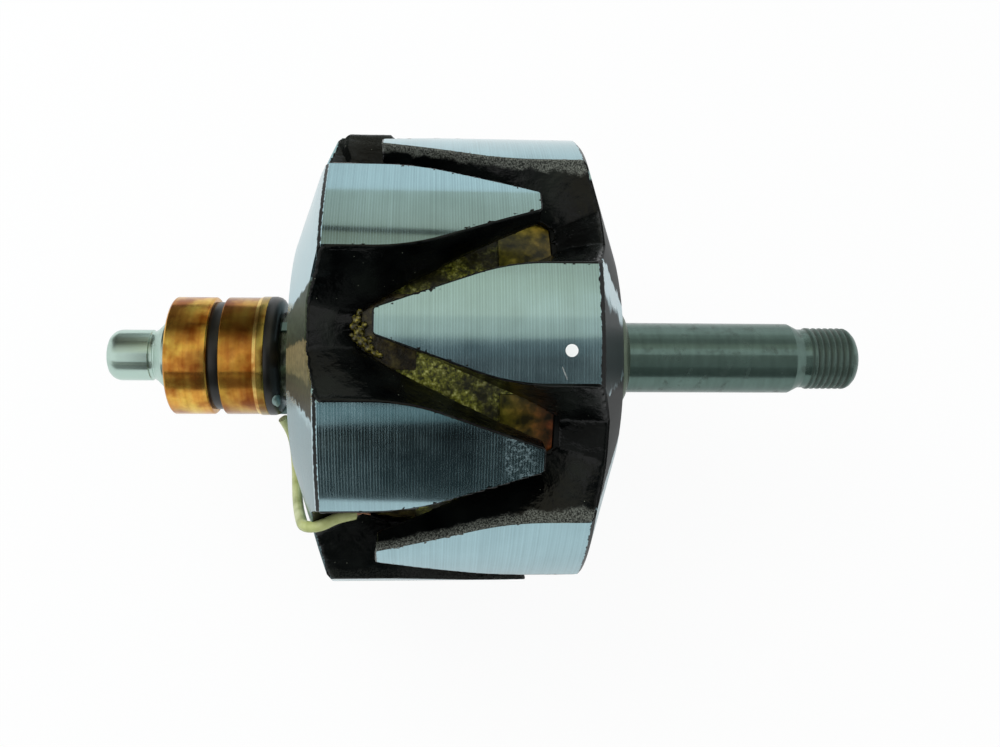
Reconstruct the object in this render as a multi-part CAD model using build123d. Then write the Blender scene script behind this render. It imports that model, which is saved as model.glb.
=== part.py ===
from build123d import *
import math
import os

# Rotor of a claw-pole alternator, in millimetres.
# X runs along the shaft towards the drive end, Z is up, and the origin lies on the shaft's axis,
# half way between the two pole wheels. The rotor lies at rest on its claws.

# Pole wheels
pole_radius = 51.9
claws_per_wheel = 6
claw_pitch = 360 / claws_per_wheel
drive_claw_angle = -claw_pitch / 4
slip_claw_angle = claw_pitch / 4
claw_root_half_width = 11.65
claw_tip_half_width = 2.4
claw_tip_overrun = 16.3
claw_shoulder_station = 9.8
claw_shoulder_radius = 42.0
claw_root_thickness = 12.4
claw_tip_thickness = 4.6
claw_tip_corner = 0.6
claw_foot_depth = 17.9
claw_foot_tip_half_width = 0.2
claw_foot_root_half_width = 24.1
wheel_inner_station = 20.7
rim_station = 26.8
rim_chamfer = 0.9
valley_mouth_depth = 11.7
valley_rim_depth = 7.3
cone_knee_radius = 28.5
cone_knee_station = 35.8
face_edge_radius = 15.0
wheel_face_station = 37.6

# Pole core and shaft
core_radius = 27.0
seat_radius = 9.8
collar_seat_radius = 8.7
drive_shaft_radius = 8.45
slip_seat_radius = 8.2
journal_radius = 6.0
slip_seat_end = 67.3
journal_shoulder = 69.5
journal_end = 80.7
journal_tip_radius = 3.8
journal_tip_chamfer = 2.9
drive_taper_start = 81.7
drive_taper_end = 84.3
relief_end = 86.6
thread_radius = 7.5
relief_depth = 0.35
thread_chamfer_start = 95.7
shaft_end = 98.2
shaft_tip_radius = 3.9

# Collar between the drive-end wheel and the bearing
collar_radius = 12.3
collar_end = 41.4
collar_rounding = 3.3

# Slip rings and their moulding
hub_radius = 11.9
ring_radius = 13.85
ring_land_radius = 14.1
ring_land_width = 1.7
ring_outer_station = 65.4
ring_width = 9.55
ring_gap = 2.55
inner_ring_width = 10.2
separator_radius = 12.6
flange_radius = 14.1
flange_width = 3.4
flange_rounding = 2.2
notch_width = 5.0
notch_length = 1.6
notch_floor_radius = 12.3
lug_width = 2.8
lug_rise = 1.6
terminal_width = 2.4
terminal_height = 1.2
terminal_overlap = 3.0
tab_overhang = 0.5
cutter_overshoot = 1.0
core_overlap = 3.0
lower_terminal_angle = -122.0
upper_terminal_angle = 15.0

# Field coil
bobbin_clearance = 0.15
bobbin_wall = 1.2
tape_thickness = 0.8
tape_inset = 2.2
insulation_thickness = 0.7
petal_length = 10.9
petal_half_angle = 11.5
fit_clearance = 0.1
coil_radius = pole_radius - claw_root_thickness - fit_clearance
winding_radius = coil_radius - insulation_thickness - tape_thickness
bobbin_flange_step = 0.2
bobbin_flange_radius = winding_radius - bobbin_flange_step

# Lead from the inner slip ring to the coil
sleeve_diameter = 2.4
strand_diameter = 1.1
run_share = 0.45


def turned(points):
    """A solid of revolution about the shaft's axis from (station, radius) corners."""
    return revolve(make_face(Polyline(*points, close=True)), axis=Axis.X)


def polar(station, radius, angle):
    """A point at a station along the shaft, a radius and an angle from +Z towards +Y."""
    turn = math.radians(angle)
    return Vector(station, radius * math.sin(turn), radius * math.cos(turn))


def around(shape, angle):
    """The shape turned about the shaft, from +Z towards +Y."""
    return shape.rotate(Axis.X, -angle)


def block(x_low, x_high, width, z_low, z_high):
    """A box across the XZ plane."""
    box = Box(x_high - x_low, width, z_high - z_low)
    return box.translate(Vector((x_low + x_high) / 2, 0, (z_low + z_high) / 2))


# The cone runs from the rim's chamfer down to the knee.
chamfer_station = rim_station + rim_chamfer
chamfer_radius = pole_radius - rim_chamfer
cone_slope = (cone_knee_station - chamfer_station) / (chamfer_radius - cone_knee_radius)


def cone_station(radius):
    """The cone's station at a radius."""
    return chamfer_station + (chamfer_radius - radius) * cone_slope


claw_foot_level = pole_radius - claw_foot_depth
claw_plan_level = math.sqrt(pole_radius**2 - claw_root_half_width**2)
claw_plan_end = cone_station(claw_foot_level)


# A claw's plan at the rim has straight flanks that bend at the shoulder, and parallel sides there on.
def claw_plan():
    side = FilletPolyline(
        (-claw_tip_overrun, claw_tip_half_width),
        (claw_shoulder_station, claw_root_half_width),
        (claw_plan_end, claw_root_half_width),
        radius=claw_shoulder_radius,
    )
    root = Line((claw_plan_end, -claw_root_half_width), (claw_plan_end, claw_root_half_width))
    point = Line((-claw_tip_overrun, claw_tip_half_width), (-claw_tip_overrun, -claw_tip_half_width))
    return make_face([side, side.mirror(Plane.XZ), root, point])


# Its plan at the foot is a plain wedge, with a corner below each end of the shoulder's bend.
def claw_foot():
    taper = math.atan2(claw_root_half_width - claw_tip_half_width, claw_shoulder_station + claw_tip_overrun)
    bend_run = claw_shoulder_radius * math.tan(taper / 2)
    bend_start = claw_shoulder_station - bend_run * math.cos(taper)
    bend_end = claw_shoulder_station + bend_run
    spread = claw_foot_root_half_width - claw_foot_tip_half_width
    slope = spread / (claw_plan_end + claw_tip_overrun)
    corners = []
    for station in (-claw_tip_overrun, bend_start, bend_end, claw_plan_end):
        corners.append((station, claw_foot_tip_half_width + slope * (station + claw_tip_overrun)))
    other_side = [(station, -width) for station, width in reversed(corners)]
    return make_face(Polyline(*corners, *other_side, close=True))


# One claw's body points along +Z. Its flanks spread below the rim, so that its foot nearly meets the
# next one's. It is higher than the forging, and its foot lies inside it.
def claw_body():
    plan = claw_plan().translate(Vector(0, 0, claw_plan_level))
    foot = claw_foot().translate(Vector(0, 0, claw_foot_level))
    cap = extrude(plan, amount=pole_radius - claw_plan_level + cutter_overshoot, dir=(0, 0, 1))
    return loft([foot, plan], ruled=True) + cap


# The forging without its gaps: a dished disc, and a band over the coil that thins towards its edge.
def forging():
    inner_slope = (claw_root_thickness - claw_tip_thickness) / (wheel_inner_station + claw_tip_overrun)
    past_tip = -claw_tip_overrun - cutter_overshoot
    return turned(
        [
            (past_tip, pole_radius),
            (past_tip, pole_radius - claw_tip_thickness + inner_slope * cutter_overshoot),
            (wheel_inner_station, pole_radius - claw_root_thickness),
            (wheel_inner_station, seat_radius),
            (wheel_face_station, seat_radius),
            (wheel_face_station, face_edge_radius),
            (cone_knee_station, cone_knee_radius),
            (chamfer_station, chamfer_radius),
            (rim_station, pole_radius),
        ]
    )


# The valleys' floors lie on one cone that opens towards the wheel's outer side.
def valley_core():
    rim_radius = pole_radius - valley_rim_depth
    mouth_radius = pole_radius - valley_mouth_depth
    rim = cone_station(rim_radius)
    slope = (rim_radius - mouth_radius) / (rim - wheel_inner_station)
    start = wheel_inner_station - core_overlap
    end = wheel_face_station + core_overlap
    return turned(
        [
            (start, seat_radius - cutter_overshoot),
            (start, mouth_radius - slope * core_overlap),
            (end, mouth_radius + slope * (end - wheel_inner_station)),
            (end, seat_radius - cutter_overshoot),
        ]
    )


# A pole wheel is what the forging shares with its claws' bodies and the core under the valleys.
def pole_wheel(first_angle):
    kept = valley_core()
    body = claw_body()
    for i in range(claws_per_wheel):
        kept += around(body, first_angle + i * claw_pitch)
    wheel = forging() & kept
    tip = -claw_tip_overrun
    corners = wheel.edges().filter_by_position(Axis.X, tip - 0.01, tip + 0.01)
    corners = corners.filter_by(is_radial)
    return fillet(corners, claw_tip_corner)


def is_radial(edge):
    """Whether an edge at a claw's tip leads away from the shaft and not round it."""
    ends = [math.hypot(point.Y, point.Z) for point in (edge @ 0, edge @ 1)]
    return abs(ends[0] - ends[1]) > 0.5 * edge.length


ring_outer_end = ring_outer_station - ring_width
ring_inner_station = ring_outer_end - ring_gap
ring_inner_end = ring_inner_station - inner_ring_width
flange_end = ring_inner_end - flange_width
notch_start = flange_end + notch_length
terminal_base = seat_radius + fit_clearance


def pole_core():
    half = wheel_inner_station
    return turned([(-half, seat_radius), (-half, core_radius), (half, core_radius), (half, seat_radius)])


def shaft():
    tip = -journal_end
    tip_edge = tip + journal_tip_chamfer
    relief_radius = thread_radius - relief_depth
    profile = Polyline(
        (tip, 0),
        (tip, journal_tip_radius),
        (tip_edge, journal_radius),
        (-journal_shoulder, journal_radius),
        (-slip_seat_end, slip_seat_radius),
        (-flange_end, slip_seat_radius),
        (-flange_end, seat_radius),
        (wheel_face_station, seat_radius),
        (wheel_face_station, collar_seat_radius),
        (collar_end, collar_seat_radius),
        (collar_end, drive_shaft_radius),
        (drive_taper_start, drive_shaft_radius),
        (drive_taper_end, relief_radius),
        (relief_end - relief_depth, relief_radius),
        (relief_end, thread_radius),
        (thread_chamfer_start, thread_radius),
    )
    nose = ThreePointArc(
        (thread_chamfer_start, thread_radius),
        ((thread_chamfer_start + 2 * shaft_end) / 3, (thread_radius + shaft_tip_radius) * 0.54),
        (shaft_end, shaft_tip_radius),
    )
    end = Line((shaft_end, shaft_tip_radius), (shaft_end, 0))
    axis = Line((shaft_end, 0), (tip, 0))
    return revolve(make_face([profile, nose, end, axis]), axis=Axis.X)


# The collar seats on the wheel's face and on the shaft's shoulder.
def drive_end_collar():
    start = wheel_face_station
    centre = (collar_end - collar_rounding, collar_radius - collar_rounding)
    slant = collar_rounding * math.sqrt(0.5)
    sides = Polyline(
        (collar_end, centre[1]),
        (collar_end, collar_seat_radius),
        (start, collar_seat_radius),
        (start, collar_radius),
        (centre[0], collar_radius),
    )
    bend = ThreePointArc(
        (centre[0], collar_radius),
        (centre[0] + slant, centre[1] + slant),
        (collar_end, centre[1]),
    )
    return revolve(make_face([sides, bend]), axis=Axis.X)




def slip_ring_outer():
    return turned(
        [
            (-ring_outer_station, hub_radius),
            (-ring_outer_station, ring_radius),
            (-ring_outer_end, ring_radius),
            (-ring_outer_end, hub_radius),
        ]
    )


# The brush has worn the inner ring, and left a land of the first diameter beside the flange.
def slip_ring_inner():
    land = -ring_inner_end - ring_land_width
    return turned(
        [
            (-ring_inner_station, hub_radius),
            (-ring_inner_station, ring_radius),
            (land, ring_radius),
            (land, ring_land_radius),
            (-ring_inner_end, ring_land_radius),
            (-ring_inner_end, hub_radius),
        ]
    )


# The moulding carries both rings, keeps them apart and has a notched flange at the wheel's side.
def slip_ring_hub():
    hub = turned(
        [
            (-ring_outer_station, slip_seat_radius),
            (-ring_outer_station, hub_radius),
            (-ring_outer_end, hub_radius),
            (-ring_outer_end, separator_radius),
            (-ring_inner_station, separator_radius),
            (-ring_inner_station, hub_radius),
            (-ring_inner_end, hub_radius),
            (-ring_inner_end, flange_radius),
            (-flange_end - flange_rounding, flange_radius),
            (-flange_end, flange_radius - flange_rounding),
            (-flange_end, slip_seat_radius),
        ]
    )
    past_flange = -flange_end + cutter_overshoot
    past_edge = flange_radius + cutter_overshoot
    notch = block(-notch_start, past_flange, notch_width, notch_floor_radius, past_edge)
    slot = block(
        -flange_end - terminal_overlap,
        past_flange,
        terminal_width,
        terminal_base,
        terminal_base + terminal_height,
    )
    return hub - around(notch, lower_terminal_angle) - around(slot, upper_terminal_angle)


# The lower lug lies in the flange's notch, on the side away from the viewer, and takes the coil lead.
def terminal_lug_lower():
    lug = block(
        -notch_start,
        -flange_end + tab_overhang,
        lug_width,
        notch_floor_radius,
        notch_floor_radius + lug_rise,
    )
    return around(lug, lower_terminal_angle)


# The upper bar leaves the flange and reaches the wheel's face above the shaft's seat.
def terminal_bar_upper():
    bar = block(
        -flange_end - terminal_overlap,
        -wheel_face_station,
        terminal_width,
        terminal_base,
        terminal_base + terminal_height,
    )
    return around(bar, upper_terminal_angle)


def coil_bobbin():
    inner = core_radius + bobbin_clearance
    barrel = inner + bobbin_wall
    half = wheel_inner_station - fit_clearance
    cheek = half - bobbin_wall
    return turned(
        [
            (-half, inner),
            (-half, bobbin_flange_radius),
            (-cheek, bobbin_flange_radius),
            (-cheek, barrel),
            (cheek, barrel),
            (cheek, bobbin_flange_radius),
            (half, bobbin_flange_radius),
            (half, inner),
        ]
    )


winding_half = wheel_inner_station - fit_clearance - bobbin_wall
winding_inner = core_radius + bobbin_clearance + bobbin_wall
tape_half_width = winding_half - tape_inset


def field_winding():
    half = winding_half
    low = winding_inner
    high = winding_radius
    return turned([(-half, low), (-half, high), (half, high), (half, low)])


def coil_tape():
    half = tape_half_width
    outer = winding_radius + tape_thickness
    return turned([(-half, winding_radius), (-half, outer), (half, outer), (half, winding_radius)])


# Each end insulation is a hoop round the coil's edge with a petal in every valley of its wheel.
def end_insulation(first_angle):
    low = winding_radius + tape_thickness
    high = low + insulation_thickness
    hoop = turned(
        [
            (tape_half_width, winding_radius),
            (tape_half_width, low),
            (winding_half, low),
            (winding_half, winding_radius),
        ]
    )
    petal_start = winding_half - petal_length
    leaf = turned([(petal_start, low), (petal_start, high), (winding_half, high), (winding_half, low)])
    half_width = low * math.sin(math.radians(petal_half_angle))
    strip = block(petal_start, winding_half, 2 * half_width, 0, 2 * high)
    petal = leaf & strip
    for i in range(claws_per_wheel):
        hoop += around(petal, first_angle + (i + 0.5) * claw_pitch)
    return hoop.clean()


# The lead runs up the slip-end wheel behind a claw, bends over the rim in the next valley and ends
# on the coil. Each point is (station, radius, angle), from the lug to the coil.
sleeve_route = [
    (-40.9, 15.4, -124.0),
    (-39.3, 18.3, -124.5),
    (-38.3, 22.6, -122.0),
    (-37.6, 27.3, -115.0),
    (-36.8, 30.7, -106.0),
    (-35.9, 33.8, -97.0),
    (-34.6, 37.4, -88.0),
    (-32.9, 41.9, -79.8),
    (-31.7, 45.6, -74.8),
    (-28.2, 46.3, -72.9),
    (-25.1, 44.1, -72.8),
    (-23.2, 43.1, -73.5),
    (-21.4, 42.1, -75.0),
]
strand_route = [
    (-21.4, 42.1, -75.0),
    (-19.6, 41.1, -76.5),
    (-18.0, 40.4, -77.5),
    (-16.8, 40.0, -78.2),
]


def corner_radii(points):
    """The largest arc at each corner that its two runs leave room for."""
    radii = []
    for before, here, after in zip(points, points[1:], points[2:]):
        first = here - before
        second = after - here
        turn = math.radians(first.get_angle(second))
        shorter = min(first.length, second.length)
        radii.append(run_share * shorter / math.tan(turn / 2))
    return radii


def tube(route, diameter):
    """A round cord along a route of straight runs and arcs, with its length."""
    points = [polar(*stop) for stop in route]
    radii = corner_radii(points)
    path = FilletPolyline(*points, radius=radii)
    section = Plane(path @ 0, z_dir=path % 0) * Circle(diameter / 2)
    solid = sweep(section, path=path)
    share = solid.volume / (math.pi * diameter**2 / 4 * path.length)
    print("tube", diameter, "length", round(path.length, 2), "volume share", round(share, 4))
    print("radii", [round(value, 1) for value in radii])
    return solid


pieces = {
    "shaft": shaft(),
    "drive_end_collar": drive_end_collar(),
    "pole_core": pole_core(),
    "claw_wheel_drive_end": pole_wheel(drive_claw_angle),
    "claw_wheel_slip_end": pole_wheel(slip_claw_angle).mirror(Plane.YZ),
    "coil_bobbin": coil_bobbin(),
    "field_winding": field_winding(),
    "coil_tape": coil_tape(),
    "end_insulation_drive_end": end_insulation(drive_claw_angle),
    "end_insulation_slip_end": end_insulation(slip_claw_angle).mirror(Plane.YZ),
    "slip_ring_outer": slip_ring_outer(),
    "slip_ring_inner": slip_ring_inner(),
    "slip_ring_hub": slip_ring_hub(),
    "terminal_lug_lower": terminal_lug_lower(),
    "terminal_bar_upper": terminal_bar_upper(),
    "coil_lead_sleeve": tube(sleeve_route, sleeve_diameter),
    "coil_lead_strand": tube(strand_route, strand_diameter),
}

os.makedirs("parts", exist_ok=True)
for name, piece in pieces.items():
    export_step(piece, f"parts/{name}.step")
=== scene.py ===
import math

import bpy
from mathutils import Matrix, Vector, noise


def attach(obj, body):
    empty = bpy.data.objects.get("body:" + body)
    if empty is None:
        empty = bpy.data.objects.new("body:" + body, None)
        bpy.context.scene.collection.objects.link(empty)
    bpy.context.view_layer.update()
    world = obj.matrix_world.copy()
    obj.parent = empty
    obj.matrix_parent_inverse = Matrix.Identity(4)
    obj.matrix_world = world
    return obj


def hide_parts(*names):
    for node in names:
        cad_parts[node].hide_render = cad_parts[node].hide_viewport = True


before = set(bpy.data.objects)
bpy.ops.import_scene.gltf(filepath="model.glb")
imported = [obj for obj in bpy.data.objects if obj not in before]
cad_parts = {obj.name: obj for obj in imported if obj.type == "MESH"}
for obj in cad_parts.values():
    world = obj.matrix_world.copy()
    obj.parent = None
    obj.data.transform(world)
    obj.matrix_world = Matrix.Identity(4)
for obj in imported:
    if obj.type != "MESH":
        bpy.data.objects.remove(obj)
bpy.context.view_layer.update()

bl_info = {
    "name": "Alternator rotor",
    "version": (1, 0, 0),
    "blender": (4, 5, 0),
    "location": "3D View > Sidebar > Rotor",
    "description": "Dresses the packed rotor: lacquered claw wheels, turned shaft, copper rings, taped coil",
    "category": "Object",
}

MM = 0.001
BODY = "root"
# Doubles closer than this many metres are merged, and corners past this many degrees are rounded.
MERGE_REACH, ROUNDED_CORNER = 1e-6, 25
# Further out than any surface, in millimetres.
FAR = 60.0


def srgb(code):
    """A linear colour, with alpha, from an sRGB hex code."""
    parts = [int(code[i:i + 2], 16) / 255 for i in (1, 3, 5)]
    return tuple(c / 12.92 if c <= 0.04045 else ((c + 0.055) / 1.055) ** 2.4 for c in parts) + (1.0,)


def length(label, millimetres, text):
    """A length property, given in millimetres and kept in metres."""
    return bpy.props.FloatProperty(
        name=label, description=text, default=millimetres * MM, min=0, unit="LENGTH", precision=5
    )


def colour(label, code, text):
    """A colour property, given as an sRGB hex code."""
    return bpy.props.FloatVectorProperty(
        name=label, description=text, default=srgb(code), size=4, min=0, max=1, subtype="COLOR"
    )


def amount(label, value, text):
    """A plain number property."""
    return bpy.props.FloatProperty(name=label, description=text, default=value, min=0)


class RotorSizes(bpy.types.PropertyGroup):
    """Sizes of the finish and of the small forms that the solids leave plain."""

    pole_radius: length("Pole radius", 51.9, "Radius of the turned claw faces")
    turning_feed: length("Turning feed", 0.56, "Distance between the claws' tool marks, drawn to show")
    lacquer_grain: length("Lacquer grain", 0.6, "Size of the smallest lumps in the dried lacquer")
    lacquer_film: length("Lacquer film", 0.22, "Thickness of the dip lacquer on the claws' sides")
    lacquer_lumps: length("Lacquer lumps", 0.16, "How far runs and beads stand out of the lacquer")
    thread_pitch: length("Thread pitch", 1.5, "Distance from crest to crest of the pulley thread")
    thread_depth: length("Thread depth", 0.45, "Depth of the pulley thread")
    tape_width: length("Tape width", 9.0, "Width of the glass tape round the coil")
    tape_fuzz: length("Tape fuzz", 0.22, "How far the tape's soaked fibres stand up")
    mark_radius: length("Mark radius", 1.22, "Radius of the painted inspection mark")
    strand_radius: length("Strand radius", 0.2, "Radius of one copper strand of the lead")


class RotorColours(bpy.types.PropertyGroup):
    """Colours of the finishes."""

    pole_steel: colour("Pole steel", "#adcdd5", "Turned steel of the claws")
    lacquer: colour("Lacquer", "#0c0f0e", "Black dip lacquer")
    shaft_steel: colour("Shaft steel", "#667c75", "Tarnished steel of the drive end")
    journal_steel: colour("Journal steel", "#bdd4ca", "Bright ground journal")
    ring_copper: colour("Ring copper", "#c48a3a", "Slip ring copper with a brown film")
    tape: colour("Tape", "#8e9228", "Glass tape soaked with resin")
    sleeve: colour("Sleeve", "#b4bd7c", "Oiled sleeve of the coil lead")
    mark: colour("Mark", "#f8fbfa", "White paint of the inspection mark")


class RotorStudio(bpy.types.PropertyGroup):
    """Light and camera of the stage."""

    ambient: amount("Ambient", 0.72, "Strength of the pale surroundings on matt surfaces")
    lamp_power: amount("Lamp power", 2.4, "Power of the soft lamp, in watts")
    lens: amount("Lens", 34.58, "Focal length for a 36 mm sensor, in millimetres")


def sizes():
    return bpy.context.scene.rotor_sizes


def colours():
    return bpy.context.scene.rotor_colours


def studio():
    return bpy.context.scene.rotor_studio


# Modelling helpers
def leave_edit():
    """Back to object mode with nothing selected."""
    if bpy.context.object and bpy.context.object.mode != "OBJECT":
        bpy.ops.object.mode_set(mode="OBJECT")
    bpy.ops.object.select_all(action="DESELECT")


def pick(piece):
    """Makes a piece the one that operators act on."""
    leave_edit()
    piece.select_set(True)
    bpy.context.view_layer.objects.active = piece


def new_piece(name):
    """Names the primitive that was just added, with its place in its mesh."""
    piece = bpy.context.object
    piece.name = name
    piece.data.name = name
    bpy.ops.object.transform_apply(location=True, rotation=True, scale=True)
    return piece


def modify(piece, kind, **settings):
    """Adds a modifier to a piece and applies it."""
    pick(piece)
    bpy.ops.object.modifier_add(type=kind)
    modifier = piece.modifiers[-1]
    for key, value in settings.items():
        setattr(modifier, key, value)
    bpy.ops.object.modifier_apply(modifier=modifier.name)


def shade(piece, angle=35):
    """Smooth faces, with edges kept sharp past an angle in degrees."""
    pick(piece)
    bpy.ops.object.shade_smooth_by_angle(angle=math.radians(angle))


def dress(piece, material):
    """Gives a piece its material and its material slot, and makes it ride on the rotor."""
    piece.data.materials.clear()
    piece.data.materials.append(material)
    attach(piece, BODY)
    leave_edit()
    return piece


def mend(piece):
    """Merges a mesh's doubles, drops its loose edges and turns its faces outwards."""
    pick(piece)
    bpy.ops.object.mode_set(mode="EDIT")
    bpy.ops.mesh.select_all(action="SELECT")
    bpy.ops.mesh.remove_doubles(threshold=MERGE_REACH)
    bpy.ops.mesh.delete_loose()
    bpy.ops.mesh.select_all(action="SELECT")
    bpy.ops.mesh.normals_make_consistent(inside=False)
    bpy.ops.object.mode_set(mode="OBJECT")


def turned(name, profile, steps=144, rounding=0.0):
    """A solid of revolution about the shaft's axis from (station, radius) corners in millimetres."""
    leave_edit()
    bpy.ops.mesh.primitive_circle_add(vertices=len(profile), radius=MM, fill_type="NOTHING")
    piece = new_piece(name)
    for vertex, (station, radius) in zip(piece.data.vertices, profile):
        vertex.co = (station * MM, 0, radius * MM)
    pick(piece)
    bpy.ops.object.mode_set(mode="EDIT")
    bpy.ops.mesh.select_all(action="SELECT")
    bpy.ops.mesh.spin(steps=steps, angle=2 * math.pi, center=(0, 0, 0), axis=(1, 0, 0))
    bpy.ops.object.mode_set(mode="OBJECT")
    mend(piece)
    if rounding:
        corner = math.radians(ROUNDED_CORNER)
        modify(piece, "BEVEL", width=rounding * MM, segments=3, limit_method="ANGLE", angle_limit=corner)
    return piece


def polar(station, radius, angle):
    """A point in metres from a station and a radius in millimetres and an angle from +Z towards +Y."""
    turn = math.radians(angle)
    return Vector((station, radius * math.sin(turn), radius * math.cos(turn))) * MM


def wrapped(name, stations, angles, radius, across, around):
    """A sheet bent round the shaft's axis between two stations and two angles."""
    leave_edit()
    bpy.ops.mesh.primitive_grid_add(x_subdivisions=across, y_subdivisions=around, size=1)
    piece = new_piece(name)
    for vertex in piece.data.vertices:
        station = stations[0] + (vertex.co.x + 0.5) * (stations[1] - stations[0])
        angle = angles[0] + (vertex.co.y + 0.5) * (angles[1] - angles[0])
        vertex.co = polar(station, radius, angle)
    return piece


def copy_of(node, name):
    """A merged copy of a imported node's mesh, as a new piece."""
    piece = bpy.data.objects.new(name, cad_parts[node].data.copy())
    bpy.context.scene.collection.objects.link(piece)
    pick(piece)
    bpy.ops.object.mode_set(mode="EDIT")
    bpy.ops.mesh.select_all(action="SELECT")
    bpy.ops.mesh.remove_doubles(threshold=MERGE_REACH)
    bpy.ops.object.mode_set(mode="OBJECT")
    return piece


def repaint(node, material):
    """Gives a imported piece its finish."""
    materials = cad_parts[node].data.materials
    materials.clear()
    materials.append(material)


def move_out(vertex, share):
    """Multiplies a vertex's distance from the shaft's axis."""
    vertex.co.y *= share
    vertex.co.z *= share


def beads(name, places, steps=2):
    """Small round lumps in one piece, from (point, (along, across, outward) radii in millimetres)."""
    leave_edit()
    lumps = []
    for point, radii in places:
        bpy.ops.mesh.primitive_ico_sphere_add(subdivisions=steps, radius=MM)
        lump = bpy.context.object
        lump.scale = radii
        lump.rotation_euler = (-math.atan2(point.y, point.z), 0, 0)
        lump.location = point
        lumps.append(lump)
    for lump in lumps:
        lump.select_set(True)
    bpy.context.view_layer.objects.active = lumps[0]
    if len(lumps) > 1:
        bpy.ops.object.join()
    piece = new_piece(name)
    bpy.ops.object.shade_smooth()
    return piece


def smooth_step(value, low, high):
    """0 below low, 1 above high, and a smooth rise between them."""
    share = min(max((value - low) / (high - low), 0.0), 1.0)
    return share * share * (3 - 2 * share)


def grain(point, size, seed=0.0):
    """Smooth noise from -1 to 1 with lumps of a size in millimetres."""
    return noise.noise(point / (size * MM) + Vector((seed, seed * 2, seed * 3)))


# Shader helpers
# Settings of a Mix node that lays one colour over another, or multiplies one by another.
OVERLAID = {"out": 2, "data_type": "RGBA"}
MULTIPLIED = {**OVERLAID, "blend_type": "MULTIPLY"}


def add(tree, kind, inputs=None, out=0, stops=None, **settings):
    """Adds a shader node with its settings, values and links, and returns one of its outputs."""
    node = tree.nodes.new("ShaderNode" + kind)
    for key, value in settings.items():
        setattr(node, key, value)
    for key, value in (inputs or {}).items():
        if isinstance(value, bpy.types.NodeSocket):
            tree.links.new(value, node.inputs[key])
        else:
            node.inputs[key].default_value = value
    if stops:
        elements = node.color_ramp.elements
        while len(elements) < len(stops):
            elements.new(1.0)
        for element, (place, value) in zip(elements, stops):
            element.position = place
            if isinstance(value, float):
                value = (value, value, value, 1)
            element.color = srgb(value) if isinstance(value, str) else value
    return node.outputs[out]


def new_material(name):
    material = bpy.data.materials.new(name)
    material.use_nodes = True
    material.node_tree.nodes.clear()
    return material, material.node_tree


def close(tree, shader):
    output = tree.nodes.new("ShaderNodeOutputMaterial")
    tree.links.new(shader, output.inputs["Surface"])


def rotor_place(tree):
    """The point in millimetres, its station, its radius and its angle in degrees from +Z towards +Y."""
    point = add(tree, "TexCoord", out="Object")
    point = add(tree, "VectorMath", {0: point, "Scale": 1 / MM}, operation="SCALE")
    station, across, up = [add(tree, "SeparateXYZ", {0: point}, out=axis) for axis in "XYZ"]
    flat = add(tree, "CombineXYZ", {"Y": across, "Z": up})
    radius = add(tree, "VectorMath", {0: flat}, operation="LENGTH", out="Value")
    turn = add(tree, "Math", {0: across, 1: up}, operation="ARCTAN2")
    angle = add(tree, "Math", {0: turn}, operation="DEGREES")
    return point, station, radius, angle


def turning_lines(tree, station, angle, spacing, drift=0.02):
    """Noise in rings about the shaft, as a lathe leaves, with rings about a spacing in millimetres apart."""
    along = add(tree, "Math", {0: station, 1: 1 / spacing}, operation="MULTIPLY")
    round_it = add(tree, "Math", {0: angle, 1: drift}, operation="MULTIPLY")
    place = add(tree, "CombineXYZ", {"X": along, "Y": round_it})
    return add(tree, "TexNoise", {"Vector": place, "Scale": 1.0, "Detail": 3.0}, noise_dimensions="2D")


def within(tree, value, low, high, soft):
    """1 where a value lies between two limits, and 0 outside them, with soft edges."""
    rise, fall = [
        add(tree, "MapRange", {0: value, 1: end - soft, 2: end + soft}, interpolation_type="SMOOTHSTEP")
        for end in (low, high)
    ]
    return add(tree, "Math", {0: rise, 1: fall}, operation="SUBTRACT")


def all_of(tree, mask, *others):
    """Where several masks all hold, each weakened by the others."""
    for other in others:
        mask = add(tree, "Math", {0: mask, 1: other}, operation="MULTIPLY")
    return mask


def any_of(tree, mask, *others):
    """Where at least one of several masks holds."""
    for other in others:
        mask = add(tree, "Math", {0: mask, 1: other}, operation="MAXIMUM")
    return mask


def wandering(tree, value, point, size, reach):
    """A value that noise with lumps of a size in millimetres moves up and down by a reach."""
    lumps = add(tree, "TexNoise", {"Vector": point, "Scale": 1 / size, "Detail": 3.0})
    shift = add(tree, "MapRange", {0: lumps, 1: 0.3, 2: 0.7, 3: -reach, 4: reach})
    return add(tree, "Math", {0: value, 1: shift}, operation="ADD")


# The tool marks are coarser at the slip end's rim and fade between these two stations.
COARSE_MARKS = (-27.0, -8.0)


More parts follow.
